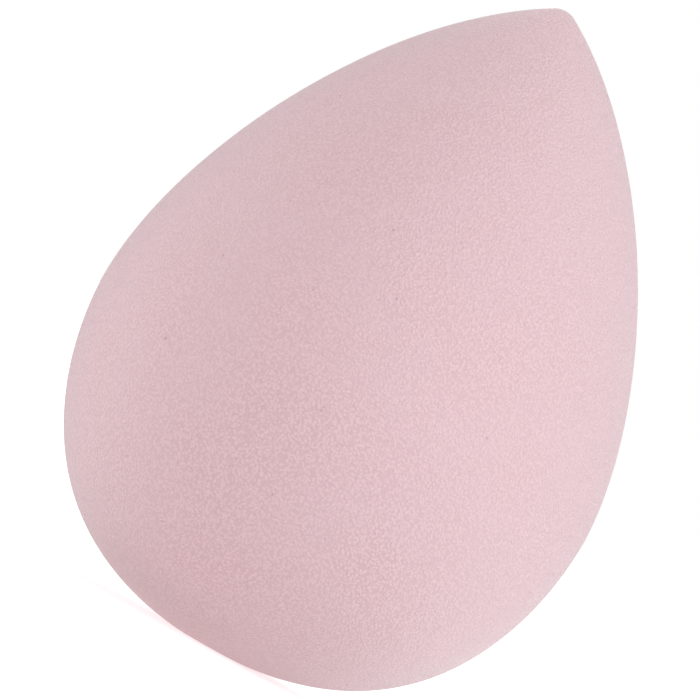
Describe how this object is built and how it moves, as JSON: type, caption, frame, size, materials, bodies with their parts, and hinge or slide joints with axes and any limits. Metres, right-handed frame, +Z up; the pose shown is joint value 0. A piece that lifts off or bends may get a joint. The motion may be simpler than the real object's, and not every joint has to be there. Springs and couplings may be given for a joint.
{
  "type": "makeup sponge",
  "caption": "Teardrop makeup sponge of soft pale pink foam, with a round base and belly for blending and a tapered tip for small areas, standing on its flattened foot.",
  "frame": {"origin": "centre of the flat foot, on the sponge's own axis", "axes": "+Z up along the sponge's axis, from the foot to the tip; X and Y may lie anywhere, because the sponge is round about Z"},
  "size_m": [0.0452, 0.0452, 0.0598],
  "materials": {
    "foam": "soft open-cell foam, ground to a matte suede-like surface with fine pores"
  },
  "bodies": {
    "root": {"foam_body": "foam"}
  },
  "joints": []
}
